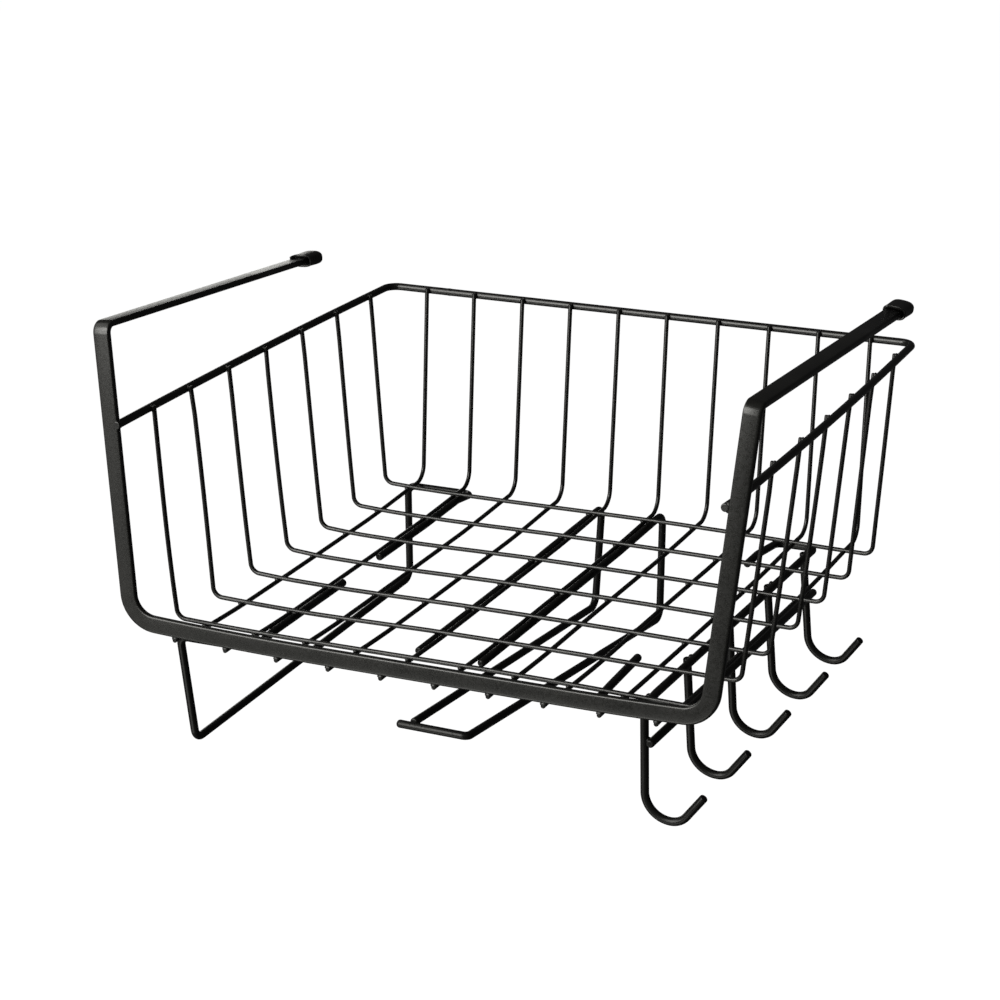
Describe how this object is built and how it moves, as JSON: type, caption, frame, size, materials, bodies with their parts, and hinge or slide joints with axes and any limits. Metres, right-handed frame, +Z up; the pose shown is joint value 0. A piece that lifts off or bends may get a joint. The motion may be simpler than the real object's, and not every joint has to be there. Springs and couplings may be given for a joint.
{
  "type": "under-shelf wire basket",
  "caption": "Black wire basket that hangs under a shelf board by two flat arms, with a towel bar, a roll holder and a row of hooks below.",
  "frame": {"origin": "midway between the two arms, level with their undersides at the front, half-way along the arms: the point by which the basket hangs on a shelf board", "axes": "+X to the user's right along the front strip, +Y away from the user into the shelf, +Z up"},
  "size_m": [0.4438, 0.3871, 0.3015],
  "materials": {
    "black_powder_coat": "satin powder coat",
    "cap_plastic": "satin moulded"
  },
  "bodies": {
    "root": {"front_frame": "black_powder_coat", "rim_wire": "black_powder_coat", "long_wire_01": "black_powder_coat", "long_wire_02": "black_powder_coat", "long_wire_03": "black_powder_coat", "long_wire_04": "black_powder_coat", "long_wire_05": "black_powder_coat", "long_wire_06": "black_powder_coat", "long_wire_07": "black_powder_coat", "long_wire_08": "black_powder_coat", "long_wire_09": "black_powder_coat", "long_wire_10": "black_powder_coat", "cross_wire_1": "black_powder_coat", "cross_wire_2": "black_powder_coat", "cross_wire_3": "black_powder_coat", "cross_wire_4": "black_powder_coat", "cross_wire_5": "black_powder_coat", "cross_wire_6": "black_powder_coat", "cross_wire_7": "black_powder_coat", "towel_bar": "black_powder_coat", "roll_rod_left": "black_powder_coat", "roll_rod_right": "black_powder_coat", "hook_rail_upper": "black_powder_coat", "hook_rail_lower": "black_powder_coat", "hook_1": "black_powder_coat", "hook_2": "black_powder_coat", "hook_3": "black_powder_coat", "hook_4": "black_powder_coat", "hook_5": "black_powder_coat", "arm_cap_left": "cap_plastic", "arm_cap_right": "cap_plastic"}
  },
  "joints": []
}
